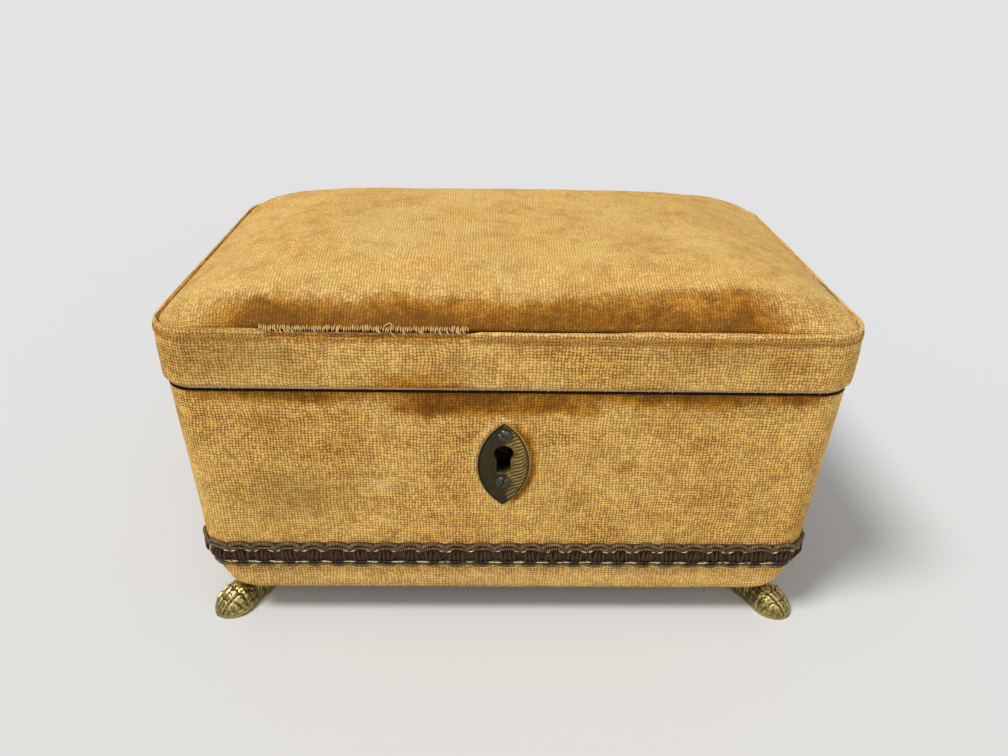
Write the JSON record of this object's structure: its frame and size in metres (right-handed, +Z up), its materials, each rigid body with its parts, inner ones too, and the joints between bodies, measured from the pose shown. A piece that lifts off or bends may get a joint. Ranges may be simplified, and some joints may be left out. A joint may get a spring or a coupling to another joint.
{
  "type": "music box",
  "caption": "Velvet-covered musical keepsake box with a hinged cushioned lid, metal braid, pointed lock plate and paw feet; inside are a lined well and a cylinder movement under glass.",
  "frame": {"origin": "middle of the bounding box, on the floor under the feet", "axes": "+X to the right along the long front, +Y to the hinged back, +Z up"},
  "size_m": [0.216, 0.1386, 0.1243],
  "materials": {
    "velvet": "worn ribbed velvet",
    "silk": "aged silk",
    "case_wood": "bare softwood",
    "braid": "tarnished metal braid",
    "old_brass": "aged cast brass",
    "lock_plate": "patinated",
    "steel": "old steel",
    "clean_brass": "lacquered brass",
    "comb_steel": "ground steel",
    "glass": "clear",
    "paper": "paper",
    "bare_wood": "varnished"
  },
  "bodies": {
    "case": {"back_board": "case_wood", "back_bracket": "clean_brass", "back_left_foot": "old_brass", "back_right_foot": "old_brass", "barrel_bridge": "clean_brass", "base_paper": "paper", "bedplate": "clean_brass", "bottom_board": "case_wood", "braid": "braid", "case_velvet": "velvet", "click": "steel", "comb": "comb_steel", "comb_base": "clean_brass", "escutcheon": "lock_plate", "escutcheon_screws": "steel", "floor_pad": "silk", "front_board": "case_wood", "front_bracket": "clean_brass", "front_left_foot": "old_brass", "front_right_foot": "old_brass", "glass_frame": "bare_wood", "glass_ledges": "bare_wood", "governor_bracket": "clean_brass", "hinge_case_leaves": "clean_brass", "hinge_pins": "steel", "left_end": "case_wood", "lock_case": "steel", "movement_glass": "glass", "partition": "bare_wood", "right_end": "case_wood", "stop_guide": "clean_brass", "well_lining": "silk"},
    "lid": {"lid_front_rail": "case_wood", "lid_back_rail": "case_wood", "lid_left_rail": "case_wood", "lid_right_rail": "case_wood", "lid_top_board": "case_wood", "lid_velvet": "velvet", "lid_cushion": "velvet", "lid_lining": "silk", "lock_striker": "clean_brass", "hinge_lid_leaves": "clean_brass"},
    "lock_bolt": {"lock_bolt": "clean_brass"},
    "winding": {"winding_arbor": "steel", "winding_key": "old_brass", "ratchet_wheel": "steel"},
    "barrel": {"spring_barrel": "clean_brass"},
    "cylinder": {"music_cylinder": "clean_brass", "cylinder_arbor": "steel", "great_wheel": "clean_brass"},
    "governor": {"governor_wheel": "clean_brass"},
    "fly": {"fly_worm": "steel", "fly_vane": "clean_brass"},
    "stop": {"stop_rod": "steel"}
  },
  "joints": [
    {"name": "lid_hinge", "type": "hinge", "parent": "case", "child": "lid", "pos_m": [0, 0.0669, 0.09115], "axis": [-1, 0, 0], "range_deg": [0, 100]},
    {"name": "bolt_slide", "type": "slide", "parent": "case", "child": "lock_bolt", "axis": [1, 0, 0], "range_m": [0, 0.005]},
    {"name": "winding_turn", "type": "hinge", "parent": "case", "child": "winding", "pos_m": [0.063, -0.033, 0.02], "axis": [0, 0, 1], "continuous": true},
    {"name": "cylinder_spin", "type": "hinge", "parent": "case", "child": "cylinder", "pos_m": [0.063, 0, 0.03846], "axis": [0, 1, 0], "continuous": true},
    {"name": "barrel_spin", "type": "hinge", "parent": "case", "child": "barrel", "pos_m": [0.063, -0.033, 0.02], "axis": [0, 0, 1], "continuous": true},
    {"name": "governor_spin", "type": "hinge", "parent": "case", "child": "governor", "pos_m": [0.078, 0.0398, 0.03846], "axis": [0, 1, 0], "continuous": true},
    {"name": "fly_spin", "type": "hinge", "parent": "case", "child": "fly", "pos_m": [0.085, 0.0398, 0.03846], "axis": [0, 0, 1], "continuous": true},
    {"name": "stop_rise", "type": "slide", "parent": "case", "child": "stop", "axis": [0, 0, 1], "range_m": [0, 0.004]}
  ],
  "couplings": [
    {"joint": "barrel_spin", "follows": "cylinder_spin", "ratio": 0.25},
    {"joint": "governor_spin", "follows": "cylinder_spin", "ratio": -4},
    {"joint": "fly_spin", "follows": "cylinder_spin", "ratio": -80},
    {"joint": "stop_rise", "follows": "lid_hinge", "m_per_rad": 0.00229}
  ]
}
